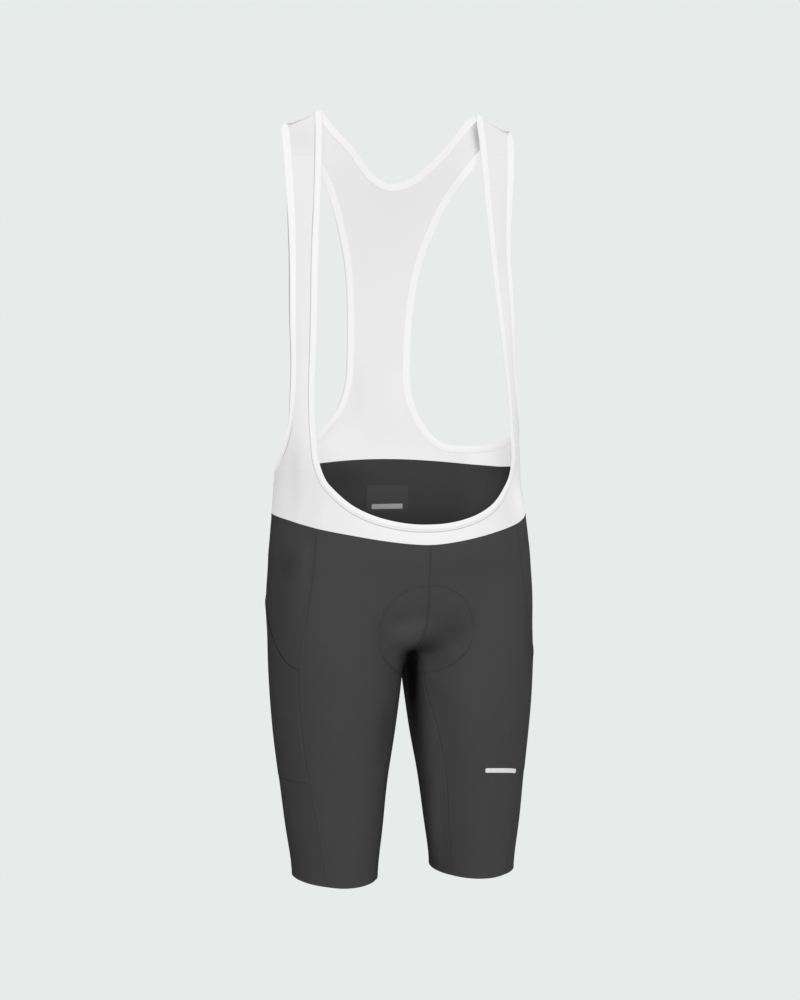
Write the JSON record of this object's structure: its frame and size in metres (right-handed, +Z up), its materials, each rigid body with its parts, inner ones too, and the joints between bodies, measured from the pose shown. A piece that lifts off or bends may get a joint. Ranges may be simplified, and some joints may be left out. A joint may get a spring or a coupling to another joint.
{
  "type": "cycling bib shorts",
  "caption": "Sleeveless cycling bib shorts: dark fitted shorts with side pockets and a seat pad, held up by white bib straps joined to a mesh back.",
  "frame": {"origin": "midpoint between the undersides of the two shoulder straps, where the straps lie on the wearer's shoulders", "axes": "+Z up along the standing wearer, the wearer looks along -Y, +X is the wearer's left"},
  "size_m": [0.3292, 0.2267, 0.9187],
  "materials": {
    "shorts_knit": "matte knit",
    "pocket_knit": "matte knit",
    "inner_leg_knit": "matte knit",
    "bib_knit": "smooth knit",
    "bib_mesh": "fine mesh",
    "edge_tape": "folded stretch tape",
    "pad_foam": "brushed knit over foam"
  },
  "bodies": {
    "root": {"front_panel_left": "shorts_knit", "front_panel_right": "shorts_knit", "side_panel_left": "shorts_knit", "side_panel_right": "shorts_knit", "back_panel_left": "shorts_knit", "back_panel_right": "shorts_knit", "inner_leg_panel_left": "inner_leg_knit", "inner_leg_panel_right": "inner_leg_knit", "pocket_left": "pocket_knit", "pocket_right": "pocket_knit", "armhole_binding_left": "edge_tape", "armhole_binding_right": "edge_tape", "bib_front": "bib_knit", "bib_back": "bib_mesh", "neck_binding": "edge_tape", "seat_pad": "pad_foam"}
  },
  "joints": []
}
